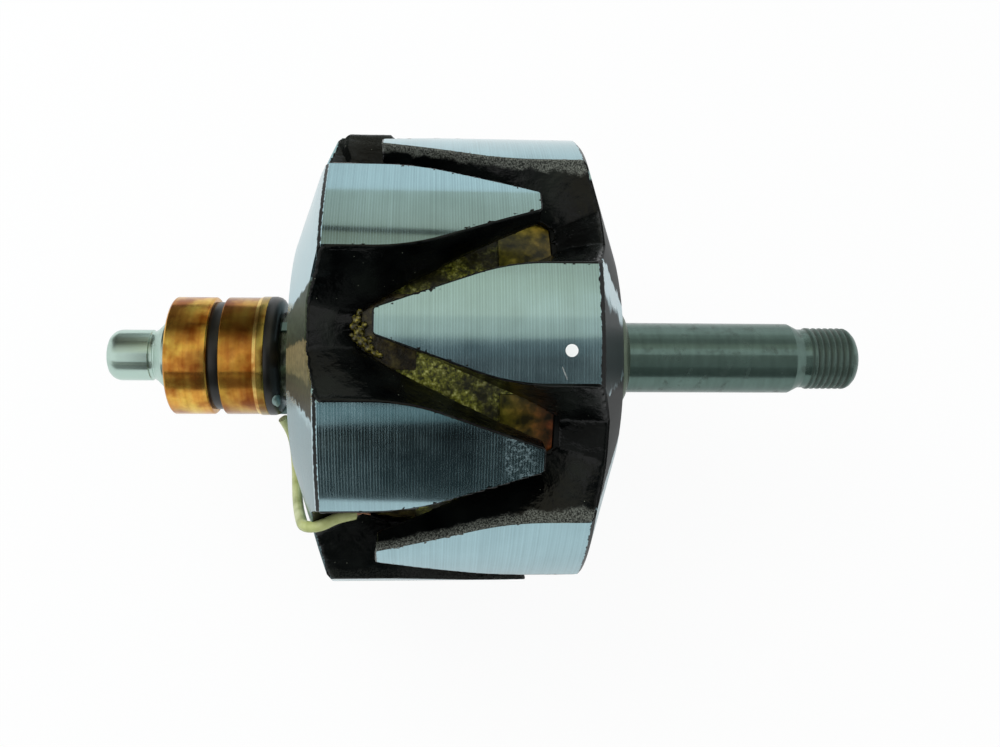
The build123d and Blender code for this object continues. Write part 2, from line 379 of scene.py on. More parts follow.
# Turned low-carbon steel: fine rings from the lathe spread a reflection along the shaft and keep it
# crisp round it, so the claws show level bands. The tool marks are duller, so they show pale in the dark
# bands.
def turned_steel(name, tint, roughness, spacing, ring_depth, film=None, streak=0.9, spread=0.9, marks=0.0):
    """A film, where there is one, gives the colour of what lies on the steel, and how far it hides it."""
    material, tree = new_material(name)
    point, station, radius, angle = rotor_place(tree)
    rings = turning_lines(tree, station, angle, spacing)
    blotch = add(tree, "TexNoise", {"Vector": point, "Scale": 0.12, "Detail": 4.0})
    streaks = add(tree, "ValToRGB", {0: rings}, stops=[(0.3, streak), (0.7, 1.0)])
    cloud = add(tree, "ValToRGB", {0: blotch}, stops=[(0.3, 0.90), (0.65, 1.0)])
    tone = add(tree, "Mix", {0: 1.0, 6: tint, 7: streaks}, **MULTIPLIED)
    tone = add(tree, "Mix", {0: 1.0, 6: tone, 7: cloud}, **MULTIPLIED)
    rough = add(tree, "MapRange", {0: blotch, 1: 0.3, 2: 0.7, 3: roughness * 0.85, 4: roughness * 1.15})
    cover = 0.0
    if film:
        over, cover = film(tree, point, station, radius, angle)
        tone = add(tree, "Mix", {0: cover, 6: tone, 7: over}, **OVERLAID)
        rough = add(tree, "Mix", {0: cover, 2: rough, 3: 0.38})
    metal = add(tree, "Math", {0: 1.0, 1: cover}, operation="SUBTRACT")
    if marks:
        feed = sizes().turning_feed / MM
        phase = add(tree, "Math", {0: station, 1: 2 * math.pi / feed}, operation="MULTIPLY")
        phase = add(tree, "Math", {0: rings, 1: 4.0, 2: phase}, operation="MULTIPLY_ADD")
        wave = add(tree, "Math", {0: phase}, operation="SINE")
        strength = add(tree, "MapRange", {0: blotch, 1: 0.35, 2: 0.65, 3: 0.25, 4: 1.0})
        rim = add(tree, "MapRange", {0: station, 1: COARSE_MARKS[0], 2: COARSE_MARKS[1], 3: 1.3, 4: 0.0})
        strength = add(tree, "Math", {0: strength, 1: rim}, operation="ADD")
        line = add(tree, "MapRange", {0: wave, 1: 0.3, 2: 1.0, 3: 0.0, 4: marks})
        face = within(tree, radius, sizes().pole_radius / MM - 0.4, FAR, 0.1)
        line = all_of(tree, line, strength, face)
        # Painted shade: the claws' faces are darkened a little along each groove of the tool marks.
        groove = add(tree, "ValToRGB", {0: wave}, stops=[(0.0, 0.91), (0.6, 1.0)])
        tone = add(tree, "Mix", {0: face, 6: tone, 7: groove}, **MULTIPLIED)
        dull = add(tree, "Math", {0: 1.0, 1: line}, operation="SUBTRACT")
        metal = all_of(tree, metal, dull)
    height = add(tree, "Bump", {"Strength": 0.35, "Distance": ring_depth * MM, "Height": rings})
    along = add(tree, "CombineXYZ", {"X": 1.0})
    close(tree, add(tree, "BsdfPrincipled", {
        "Base Color": tone, "Metallic": metal, "Roughness": rough, "Anisotropic": spread,
        "Specular IOR Level": 0.2, "Normal": height, "Tangent": along,
    }))
    return material


def under_lacquer(tree, station, radius):
    """1 on the wheel's unturned surfaces, which the lacquer hides, and 0 on its faces and cones."""
    inner = within(tree, station, -FAR, 26.7, 0.05)
    low = within(tree, radius, -1.0, sizes().pole_radius / MM - 0.3, 0.05)
    return all_of(tree, inner, low)


# Where films and wear lie on the wheels, as (low, high) stations in millimetres or angles in degrees.
SLIP_CHAMFER, DRIVE_CHAMFER = (26.95, 27.72), (26.75, 27.9)
VARNISH_SECTOR, GREASE_SECTOR, SMEAR_SECTOR = (-37.0, -4.5), (-100.0, -38.0), (-32.0, -9.0)
RUST_STATIONS, RUST_ANGLES = (9.0, 14.4), (-49.5, -37.5)
VALLEY_ANGLES, WIPED_ANGLES = (0.5, 29.5), (-56.0, 24.0)
GREASE_SHARE, SMEAR_SHARE = 0.4, 0.95


# Lacquer on the rim's chamfer, and the brown varnish that ran over the cone beside one valley.
def slip_wheel_film(tree, point, station, radius, angle):
    outer = add(tree, "Math", {0: station, 1: -1.0}, operation="MULTIPLY")
    ragged = wandering(tree, outer, point, 0.7, 0.16)
    chamfer = within(tree, ragged, *SLIP_CHAMFER, 0.06)
    turn = wandering(tree, angle, point, 2.2, 1.1)
    sector = within(tree, turn, *VARNISH_SECTOR, 0.5)
    beyond = within(tree, outer, 28.0, FAR, 0.1)
    run = all_of(tree, sector, beyond)
    share = add(tree, "MapRange", {0: turn, 1: -38.0, 2: -4.0})
    brown = add(tree, "ValToRGB", {0: share}, stops=[
        (0.0, "#46443a"), (0.26, "#4e5039"), (0.30, "#7a7350"), (0.55, "#867a55"),
        (0.58, "#2e3826"), (0.75, "#47513f"), (1.0, "#4a5649"),
    ])
    mottle = add(tree, "TexNoise", {"Vector": point, "Scale": 0.9, "Detail": 5.0})
    tone = add(tree, "ValToRGB", {0: mottle}, stops=[(0.35, 0.62), (0.65, 1.0)])
    brown = add(tree, "Mix", {0: 1.0, 6: brown, 7: tone}, **MULTIPLIED)
    over = add(tree, "Mix", {0: chamfer, 6: brown, 7: srgb("#0c0d0b")}, **OVERLAID)
    hidden = under_lacquer(tree, outer, radius)
    over = add(tree, "Mix", {0: hidden, 6: over, 7: srgb("#0b0d0c")}, **OVERLAID)
    grease = all_of(tree, within(tree, turn, *GREASE_SECTOR, 2.0), beyond, GREASE_SHARE)
    pits = rust_patch(tree, point, station, radius, angle)
    over = add(tree, "Mix", {0: pits, 6: over, 7: srgb("#0e0c0a")}, **OVERLAID)
    return over, any_of(tree, run, chamfer, grease, hidden, pits)


def rust_patch(tree, point, station, radius, angle):
    """Pits and rust in a band across the front claw of the slip-end wheel, near its tip."""
    band = within(tree, station, *RUST_STATIONS, 1.2)
    front = within(tree, angle, *RUST_ANGLES, 1.5)
    face = within(tree, radius, 51.5, 53.0, 0.1)
    specks = add(tree, "TexNoise", {"Vector": point, "Scale": 1.3, "Detail": 6.0, "Roughness": 0.7})
    grains = add(tree, "ValToRGB", {0: specks}, stops=[(0.5, 0.0), (0.6, 0.5)])
    return all_of(tree, band, front, face, grains)


# Lacquer on the rim's chamfer, wider and thicker than at the slip end, and over the cone beside the
# valleys, where it ran off when the rotor was dipped.
def drive_wheel_film(tree, point, station, radius, angle):
    ragged = wandering(tree, station, point, 0.8, 0.22)
    chamfer = within(tree, ragged, *DRIVE_CHAMFER, 0.05)
    turn = add(tree, "Math", {0: angle, 1: CLAW_PITCH}, operation="FLOORED_MODULO")
    turn = wandering(tree, turn, point, 4.0, 2.0)
    valley = within(tree, turn, *VALLEY_ANGLES, 0.8)
    outer = within(tree, wandering(tree, radius, point, 4.0, 2.5), 22.0, FAR, 0.6)
    spill = all_of(tree, valley, outer)
    smear = within(tree, wandering(tree, angle, point, 5.0, 3.0), *SMEAR_SECTOR, 2.5)
    smear = all_of(tree, smear, within(tree, station, 27.7, FAR, 0.1), SMEAR_SHARE)
    hidden = under_lacquer(tree, station, radius)
    return srgb("#0a0c0b"), any_of(tree, chamfer, spill, smear, hidden)


# Black dip lacquer: an air-drying alkyd, glossy where it ran thick and duller where it is thin. Near
# the claws' faces it can hold grains of the metal that was turned off, down to a depth in millimetres.
DUST_DEPTH = 1.9


def black_lacquer(name, dust):
    material, tree = new_material(name)
    point, station, radius, angle = rotor_place(tree)
    lumps = add(tree, "TexNoise", {"Vector": point, "Scale": 0.9, "Detail": 5.0})
    patches = add(tree, "TexNoise", {"Vector": point, "Scale": 0.11, "Detail": 3.0})
    fine = add(tree, "TexNoise", {"Vector": point, "Scale": 3.4, "Detail": 4.0})
    tone = add(tree, "ValToRGB", {0: patches}, stops=[
        (0.35, "#030404"), (0.55, tuple(colours().lacquer)), (0.75, "#171c18"),
    ])
    specks = add(tree, "TexVoronoi", {"Vector": point, "Scale": 0.42}, out="Distance")
    speck = add(tree, "ValToRGB", {0: specks}, stops=[(0.025, 0.8), (0.05, 0.0)])
    tone = add(tree, "Mix", {0: speck, 6: tone, 7: srgb("#7c8272")}, **OVERLAID)
    ragged = wandering(tree, radius, point, 3.0, 0.6)
    near_face = within(tree, ragged, sizes().pole_radius / MM - DUST_DEPTH, FAR, 0.5)
    grains = add(tree, "ValToRGB", {0: fine}, stops=[(0.42, 0.1 * dust), (0.62, dust)])
    wiped = within(tree, angle, *WIPED_ANGLES, 2.0)
    left = add(tree, "Math", {0: 1.0, 1: wiped}, operation="SUBTRACT")
    dusty = all_of(tree, near_face, grains, left)
    tone = add(tree, "Mix", {0: dusty, 6: tone, 7: srgb("#979d93")}, **OVERLAID)
    rough = add(tree, "MapRange", {0: patches, 1: 0.35, 2: 0.65, 3: 0.10, 4: 0.30})
    height = add(tree, "Bump", {"Strength": 0.6, "Distance": 0.22 * MM, "Height": lumps})
    close(tree, add(tree, "BsdfPrincipled", {
        "Base Color": tone, "Roughness": rough, "IOR": 1.5, "Specular IOR Level": 0.22, "Normal": height,
    }))
    return material


# The inner ring's brush track, the painted highlight along its bevelled edge and the land that no brush has
# worn, as stations.
WORN_TRACK, BEVEL_HIGHLIGHT, UNWORN_LAND = (-54.5, -45.1), (-45.6, -44.85), (-44.8, -43.0)


# Slip ring copper: hard copper with the brown film that brushes leave, in rings of different tone.
def ring_copper():
    material, tree = new_material("slip_ring_copper")
    point, station, radius, angle = rotor_place(tree)
    rings = turning_lines(tree, station, angle, 1.1, drift=0.01)
    patches = add(tree, "TexNoise", {"Vector": point, "Scale": 0.16, "Detail": 3.0})
    tint = tuple(colours().ring_copper)
    film = add(tree, "ValToRGB", {0: rings}, stops=[(0.3, "#c8863a"), (0.5, "#eeb452"), (0.7, "#f8d070")])
    warm = add(tree, "ValToRGB", {0: patches}, stops=[(0.34, "#c8763c"), (0.5, "#ecae4c"), (0.64, "#f4d860")])
    tone = add(tree, "Mix", {0: 0.6, 6: film, 7: warm}, **OVERLAID)
    tone = add(tree, "Mix", {0: 0.25, 6: tone, 7: tint}, **OVERLAID)
    inner = within(tree, station, *WORN_TRACK, 0.1)
    worn = add(tree, "ValToRGB", {0: inner}, stops=[(0.0, 1.0), (1.0, "#d8cfc8")])
    tone = add(tree, "Mix", {0: 1.0, 6: tone, 7: worn}, **MULTIPLIED)
    # The pale yellow band on the bevel is a painted highlight; the land beside it is duller copper.
    for ends, soft, code in ((BEVEL_HIGHLIGHT, 0.05, "#fadc84"), (UNWORN_LAND, 0.1, "#b39c4e")):
        band = within(tree, station, *ends, soft)
        tone = add(tree, "Mix", {0: band, 6: tone, 7: srgb(code)}, **OVERLAID)
    scorch = add(tree, "TexNoise", {"Vector": point, "Scale": 0.2, "Detail": 3.0})
    burnt = add(tree, "ValToRGB", {0: scorch}, stops=[(0.34, "#b48e78"), (0.6, 1.0)])
    tone = add(tree, "Mix", {0: 1.0, 6: tone, 7: burnt}, **MULTIPLIED)
    height = add(tree, "Bump", {"Strength": 0.25, "Distance": 0.015 * MM, "Height": rings})
    along = add(tree, "CombineXYZ", {"X": 1.0})
    close(tree, add(tree, "BsdfPrincipled", {
        "Base Color": tone, "Metallic": 1.0, "Roughness": 0.22, "Anisotropic": 0.75,
        "Normal": height, "Tangent": along,
    }))
    return material


# A plain dielectric with a soft mottle, for moulded, painted and soaked materials.
def mottled(name, tones, roughness, size, bump=0.05, ior=1.45):
    material, tree = new_material(name)
    point = rotor_place(tree)[0]
    patches = add(tree, "TexNoise", {"Vector": point, "Scale": 1 / size, "Detail": 6.0})
    stops = [(0.3 + 0.4 * i / max(len(tones) - 1, 1), tone) for i, tone in enumerate(tones)]
    tone = add(tree, "ValToRGB", {0: patches}, stops=stops)
    height = add(tree, "Bump", {"Strength": 0.6, "Distance": bump * MM, "Height": patches})
    close(tree, add(tree, "BsdfPrincipled", {
        "Base Color": tone, "Roughness": roughness, "IOR": ior, "Normal": height,
    }))
    return material


# The pole wheels' outline, for the lacquer that follows it.
CONE = ((26.8, 51.9), (27.7, 51.0), (35.8, 28.5), (37.6, 15.0), (37.6, 9.8))
DISC_INNER_STATION = 20.7
BORE_ZONE = 11
# How far the coat stands proud at the claws' edges, and how deep it is sunk where the steel is bare.
RIM_BEAD, SUNK = 0.22, 0.4
CLAW_PITCH = 60.0
# A thick run of lacquer over a claw of the slip end, as (station, half length) and (angle, half width).
RUN_STATION, RUN_ANGLE, RUN_HEIGHT = (20.6, 5.6), (64.0, 9.0), 0.9


def lacquer_run(station, angle):
    """How much of the thick run lies at a place, from 0 to 1."""
    station += 1.4 * noise.noise(Vector((angle * 0.22, 3.0, station * 0.3)))
    angle += 3.0 * noise.noise(Vector((station * 0.4, 7.0, angle * 0.15)))
    along = 1 - smooth_step(abs(station - RUN_STATION[0]), RUN_STATION[1] - 1.2, RUN_STATION[1])
    return along * (1 - smooth_step(abs(angle - RUN_ANGLE[0]), RUN_ANGLE[1] - 1.5, RUN_ANGLE[1]))


def depth_under_cone(station, radius):
    """How far a point of the wheel lies under its turned outer face, in millimetres."""
    depth = CONE[-1][0] - station
    for (x0, r0), (x1, r1) in zip(CONE, CONE[1:4]):
        run, rise = x1 - x0, r1 - r0
        span = math.hypot(run, rise)
        depth = min(depth, ((station - x0) * rise - (radius - r0) * run) / span)
    return depth


def lacquer_coat(node, side):
    """The lacquer on one wheel: a skin over its valleys and the claws' sides, level with the bare faces."""
    size = sizes()
    coat = copy_of(node, "lacquer_" + node)
    modify(coat, "REMESH", mode="VOXEL", voxel_size=size.lacquer_grain, use_smooth_shade=True)
    modify(coat, "SMOOTH", factor=0.5, iterations=1)
    top = size.pole_radius / MM
    film = size.lacquer_film / MM
    lumps = size.lacquer_lumps / MM
    moves = []
    for vertex in coat.data.vertices:
        place = vertex.co
        station = place.x / MM * side
        radius = math.hypot(place.y, place.z) / MM
        outward = Vector((0, place.y, place.z)).normalized()
        facing = vertex.normal.dot(outward)
        cone = depth_under_cone(station, radius) + 0.12 * grain(place, 0.9, 3.0)
        edge = smooth_step(radius, top - 1.0, top - 0.3)
        bare = smooth_step(facing, 0.97, 0.995) * smooth_step(radius, top - 0.35, top - 0.1)
        bare = max(bare, 1 - smooth_step(cone, 0.05, 0.4))
        inner_face = abs(station - DISC_INNER_STATION) < 0.6 and vertex.normal.x * side < -0.7
        inner_side = facing < -0.6 and station > 17
        run = lacquer_run(station, math.degrees(math.atan2(place.y, place.z))) if side < 0 else 0.0
        bare *= 1 - smooth_step(run, 0.0, 0.5)
        if inner_face or inner_side or radius < BORE_ZONE:
            bare = 1.0
        drops = 0.5 * max(0.0, grain(place, 1.1, 7.0))
        thick = film + lumps * (0.6 * grain(place, 2.6) + drops) + RIM_BEAD * edge + run * RUN_HEIGHT
        moves.append((vertex.normal * (thick * (1 - bare) - SUNK * bare) * MM, edge * (1 - bare), run))
    for vertex, (move, edge, run) in zip(coat.data.vertices, moves):
        bead = 0.07 * max(0.0, grain(vertex.co, 0.8, 11.0)) * edge + run * RUN_HEIGHT
        vertex.co += move
        radius = math.hypot(vertex.co.y, vertex.co.z)
        limit = size.pole_radius + (bead - 0.02) * MM
        if radius > limit:
            move_out(vertex, limit / radius)
    pick(coat)
    bpy.ops.object.shade_smooth()
    return coat


class ROTOR_OT_wheels(bpy.types.Operator):
    """Finishes the two pole wheels as turned steel and lays the lacquer in their valleys"""

    bl_idname = "rotor.wheels"
    bl_label = "Pole wheels"

    def execute(self, context):
        steel = tuple(colours().pole_steel)
        films = {
            "claw_wheel_drive_end": (1, drive_wheel_film, 0.5),
            "claw_wheel_slip_end": (-1, slip_wheel_film, 0.05),
        }
        for node, (side, film, dust) in films.items():
            repaint(node, turned_steel("turned_" + node, steel, 0.16, 0.42, 0.02, film, marks=0.11))
            lacquer = black_lacquer("black_dip_lacquer_" + node, dust)
            dress(lacquer_coat(node, side), lacquer)
        repaint("pole_core", turned_steel("core_steel", steel, 0.3, 0.8, 0.02))
        return {"FINISHED"}


# The white dot and the scratch on the drive end's front claw, as (station, angle).
MARK_PLACE = (21.06, -21.04)
SCRATCH_ENDS = ((19.16, -24.28), (20.33, -27.40))
SCRATCH_WIDTH, SCRATCH_RISE, MARK_THICKNESS = 0.09, 0.05, 0.06


class ROTOR_OT_marks(bpy.types.Operator):
    """Paints the white inspection mark and cuts the bright scratch beside it"""

    bl_idname = "rotor.marks"
    bl_label = "Marks"

    def execute(self, context):
        size = sizes()
        top = size.pole_radius / MM
        leave_edit()
        bpy.ops.mesh.primitive_cylinder_add(vertices=48, radius=size.mark_radius, depth=MARK_THICKNESS * MM)
        mark = new_piece("inspection_mark")
        self.lay(mark, MARK_PLACE, 0.0)
        paint = mottled("white_marking_paint", [tuple(colours().mark), "#eef3f1"], 0.5, 3.0, 0.01)
        dress(mark, paint)
        (x0, a0), (x1, a1) = SCRATCH_ENDS
        along, across = x1 - x0, math.radians(a1 - a0) * top
        run = math.hypot(along, across)
        leave_edit()
        bpy.ops.mesh.primitive_cylinder_add(vertices=6, radius=MM, depth=MM)
        scratch = new_piece("scratch_burr")
        for vertex in scratch.data.vertices:
            x, y, z = vertex.co
            vertex.co = (x * run / 2, y * SCRATCH_WIDTH, z * SCRATCH_RISE)
        place = ((x0 + x1) / 2, (a0 + a1) / 2)
        self.lay(scratch, place, math.atan2(across, along))
        bright = turned_steel("scratched_steel", srgb("#f2f8f8"), 0.45, 0.3, 0.01, spread=0.0)
        dress(scratch, bright)
        return {"FINISHED"}

    def lay(self, piece, place, turn):
        """Bends a flat piece onto the claws' face at a (station, angle), after a turn in its plane."""
        top = sizes().pole_radius
        for vertex in piece.data.vertices:
            along = vertex.co.x * math.cos(turn) - vertex.co.y * math.sin(turn)
            across = vertex.co.x * math.sin(turn) + vertex.co.y * math.cos(turn)
            angle = place[1] + math.degrees(across / top)
            vertex.co = polar(place[0] + along / MM, (top + vertex.co.z) / MM, angle)


# The shaft's outline from the rear centre hole to the front one, as (station, radius).
SHAFT_REAR = (
    (-77.9, 0), (-80.7, 1.7), (-80.7, 3.9), (-80.35, 4.7), (-79.8, 5.3), (-79.1, 5.75), (-78.3, 5.97),
    (-77.7, 6.0), (-70.9, 6.0), (-70.7, 5.7),
    (-70.0, 5.7), (-69.8, 6.0), (-69.5, 6.1), (-67.3, 8.2), (-39.7, 8.2), (-39.7, 9.8), (37.6, 9.8),
    (37.6, 8.7), (41.4, 8.7), (41.4, 8.45), (81.7, 8.45), (84.3, 7.15), (86.25, 7.15), (86.6, 7.5),
)
SHAFT_NOSE = ((96.6, 7.1), (97.4, 6.3), (97.9, 5.4), (98.2, 4.2), (98.2, 1.8), (95.2, 0))
THREAD_START, THREAD_END, THREAD_STEP, THREAD_CREST = 86.7, 95.9, 0.1, 7.5
COLLAR = (
    (37.6, 8.75), (37.6, 12.3), (38.1, 12.3), (39.4, 11.9), (40.4, 11.1), (41.0, 10.0), (41.1, 9.3),
    (41.4, 9.0), (41.4, 8.75),
)
SHAFT_JOURNAL_END = -66.0


# Steel of the shaft: bright and ground at the rear journal, tarnished brown-green at the drive end.
def tarnish(tree, point, station, radius, angle):
    thread = within(tree, station, 86.0, 96.2, 0.3)
    root = add(tree, "MapRange", {0: radius, 1: 7.5, 2: 6.95, 3: 0.25, 4: 0.95})
    grime = all_of(tree, thread, root)
    stains = add(tree, "TexNoise", {"Vector": point, "Scale": 0.35, "Detail": 5.0})
    stain = add(tree, "ValToRGB", {0: stains}, stops=[(0.56, 0.0), (0.72, 0.45)])
    drive_end = within(tree, station, 42.0, 120.0, 1.0)
    return srgb("#242a20"), any_of(tree, grime, all_of(tree, stain, drive_end))


def cut_thread(shaft):
    """A right-hand thread in the rings of vertices between the thread's start and end."""
    size = sizes()
    pitch, depth = size.thread_pitch / MM, size.thread_depth / MM
    for vertex in shaft.data.vertices:
        station = vertex.co.x / MM
        radius = math.hypot(vertex.co.y, vertex.co.z)
        fade_in = smooth_step(station, THREAD_START, THREAD_START + 1)
        inside = fade_in * (1 - smooth_step(station, THREAD_END - 0.6, THREAD_END + 0.4))
        if inside > 0 and radius > depth * MM * 2:
            phase = station / pitch - math.atan2(vertex.co.y, vertex.co.z) / (2 * math.pi)
            groove = 1 - abs(2 * (phase % 1.0) - 1)
            move_out(vertex, 1 - groove * depth * MM * inside / radius)


class ROTOR_OT_shaft(bpy.types.Operator):
    """Turns the shaft with its centre holes, journal, relief and thread, and the collar"""

    bl_idname = "rotor.shaft"
    bl_label = "Shaft"

    def execute(self, context):
        count = round((THREAD_END - THREAD_START) / THREAD_STEP)
        thread = tuple((THREAD_START + THREAD_STEP * i, THREAD_CREST) for i in range(count + 1))
        shaft = turned("turned_shaft", SHAFT_REAR + thread + SHAFT_NOSE, rounding=0.12)
        cut_thread(shaft)
        shade(shaft, 40)
        dress(shaft, self.finish())
        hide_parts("shaft")
        collar = turned("turned_collar", COLLAR, rounding=0.12)
        shade(collar, 50)
        dress(collar, turned_steel("collar_steel", srgb("#5e6a5c"), 0.26, 1.0, 0.01))
        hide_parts("drive_end_collar")
        return {"FINISHED"}

    def finish(self):
        tint = tuple(colours().shaft_steel)
        material = turned_steel("ground_and_tarnished_steel", tint, 0.24, 1.3, 0.01, tarnish, 0.85)
        tree = material.node_tree
        station = rotor_place(tree)[1]
        rear = add(tree, "MapRange", {0: station, 1: SHAFT_JOURNAL_END + 1, 2: SHAFT_JOURNAL_END})
        shader = next(node for node in tree.nodes if node.type == "BSDF_PRINCIPLED")
        tone = shader.inputs["Base Color"].links[0].from_socket
        bright = add(tree, "Mix", {0: rear, 6: tone, 7: tuple(colours().journal_steel)}, **OVERLAID)
        tree.links.new(bright, shader.inputs["Base Color"])
        return material


# Slip rings and their moulding, as (station, radius).
OUTER_RING = ((-65.4, 11.9), (-65.4, 13.45), (-65.0, 13.85), (-56.2, 13.85), (-55.85, 13.5), (-55.85, 11.9))
INNER_RING = (
    (-53.3, 11.9), (-53.3, 13.6), (-53.05, 13.85), (-45.6, 13.85), (-44.9, 14.1), (-43.3, 14.1),
    (-43.1, 14.0), (-43.1, 11.9),
)
HUB = (
    (-65.3, 8.25), (-65.3, 11.9), (-55.85, 11.9), (-55.85, 12.7), (-53.3, 12.7), (-53.3, 11.9), (-43.1, 11.9),
    (-43.1, 14.1), (-41.9, 14.1), (-41.0, 13.85), (-40.3, 13.3), (-39.85, 12.5), (-39.7, 11.5), (-39.7, 8.25),
)
FLANGE_RADIUS = 14.0
# The flange's notch: its angle, its station, its floor and its open top, and its length and width.
NOTCH_ANGLE, NOTCH_STATION, NOTCH_RADII, NOTCH_LENGTH, NOTCH_WIDTH = -122.0, -40.0, (12.3, 17.0), 3.0, 6.0
# Two blobs of solder, as (station, radius, angle) and (along, across, outward) radii.
SOLDER = (((-40.8, 13.3, -71.5), (1.1, 1.9, 1.1)), ((-40.9, 12.9, -79.0), (0.9, 1.4, 0.9)))
# The varnish on the neck between the moulding and the wheel: its ends, its root and its face.
NECK_START, NECK_END, NECK_ROOT, NECK_FACE, NECK_STEP = -39.9, -37.5, 9.5, 10.3, 0.3


class ROTOR_OT_slip_rings(bpy.types.Operator):
    """Turns the two copper rings and their moulding, and lays the solder and varnish behind them"""

    bl_idname = "rotor.slip_rings"
    bl_label = "Slip rings"

    def execute(self, context):
        copper = ring_copper()
        for name, profile, node in (
            ("worn_outer_ring", OUTER_RING, "slip_ring_outer"),
            ("worn_inner_ring", INNER_RING, "slip_ring_inner"),
        ):
            ring = turned(name, profile, rounding=0.1)
            shade(ring, 50)
            dress(ring, copper)
            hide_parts(node)
        plastic = mottled("black_phenolic", ["#0a0b09", "#14130f", "#0c0d0b"], 0.3, 3.0, 0.02)
        hub = turned("ring_moulding", HUB, rounding=0.08)
        self.cut_notch(hub)
        shade(hub, 45)
        dress(hub, plastic)
        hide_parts("slip_ring_hub")
        metal = turned_steel("tinned_terminal", srgb("#8aa3a0"), 0.4, 0.8, 0.01, spread=0.2)
        for node in ("terminal_lug_lower", "terminal_bar_upper"):
            repaint(node, metal)
        solder = beads("solder_joint", [(polar(*place), radii) for place, radii in SOLDER], 3)
        dull = turned_steel("dull_solder", srgb("#8ea5a2"), 0.45, 2.0, 0.05, spread=0.0)
        dress(solder, dull)
        dress(self.neck(), self.neck_varnish())
        return {"FINISHED"}

    def cut_notch(self, hub):
        """Cuts the flange's notch, where the lower lug lies."""
        leave_edit()
        bpy.ops.mesh.primitive_cube_add(size=MM)
        cutter = new_piece("notch_cutter")
        for vertex in cutter.data.vertices:
            corner = vertex.co / MM
            side = math.degrees(math.atan2(corner.y * NOTCH_WIDTH, FLANGE_RADIUS))
            station = NOTCH_STATION + NOTCH_LENGTH * corner.x
            vertex.co = polar(station, NOTCH_RADII[corner.z > 0], NOTCH_ANGLE + side)
        mend(cutter)
        modify(hub, "BOOLEAN", operation="DIFFERENCE", object=cutter, solver="EXACT")
        pick(cutter)
        bpy.ops.object.delete()

    def neck(self):
        """A lumpy skin of varnish on the shaft between the moulding and the wheel."""
        steps = round((NECK_END - NECK_START) / NECK_STEP)
        face = [(NECK_START + NECK_STEP * i, NECK_FACE) for i in range(steps + 1)]
        neck = turned("neck_varnish", [(NECK_START, NECK_ROOT)] + face + [(NECK_END, NECK_ROOT)])
        for vertex in neck.data.vertices:
            radius = math.hypot(vertex.co.y, vertex.co.z) / MM
            if radius > NECK_ROOT + 0.2:
                move_out(vertex, 1 + (0.3 * grain(vertex.co, 2.2) + 0.15) / radius)
        shade(neck, 60)
        return neck

    # Insulating varnish, brown-green where it ran thick.
    def neck_varnish(self):
        return mottled("green_brown_varnish", ["#1c2012", "#39422a", "#56684a"], 0.25, 2.4, 0.1)


# Resin that ran out of the coil beside the drive claw's tip, as (station, radius, angle, size).
RESIN = (
    (-20.4, 40.5, -12.0, 0.8), (-20.8, 41.0, -14.2, 0.7), (-19.8, 40.3, -15.4, 0.9),
    (-18.8, 40.0, -13.4, 0.55), (-20.4, 40.7, -17.4, 0.7), (-19.2, 40.3, -18.4, 0.9),
    (-17.9, 39.9, -17.6, 0.6), (-17.8, 39.9, -20.2, 0.8), (-16.6, 39.7, -21.6, 0.6),
    (-19.8, 40.5, -9.8, 0.5), (-15.6, 39.5, -22.4, 0.5), (-21.3, 41.3, -16.6, 0.4),
)
# Two thick runs of greenish varnish in the front valley of the slip-end wheel.
VARNISH_RUNS = ((-20.6, 41.2, -32.4, 1.6), (-19.2, 40.6, -33.0, 1.1), (-22.2, 41.8, -32.8, 1.0))
# Where the tape is clean and bright, as stations and angles.
CLEAN_STATIONS, CLEAN_ANGLES = (-14.5, 3.0), (-48.0, -17.0)
TAPE_HALF, TAPE_INNER, TAPE_OUTER, TAPE_STEP, LAP_RISE = 17.2, 37.9, 38.75, 0.45, 0.18


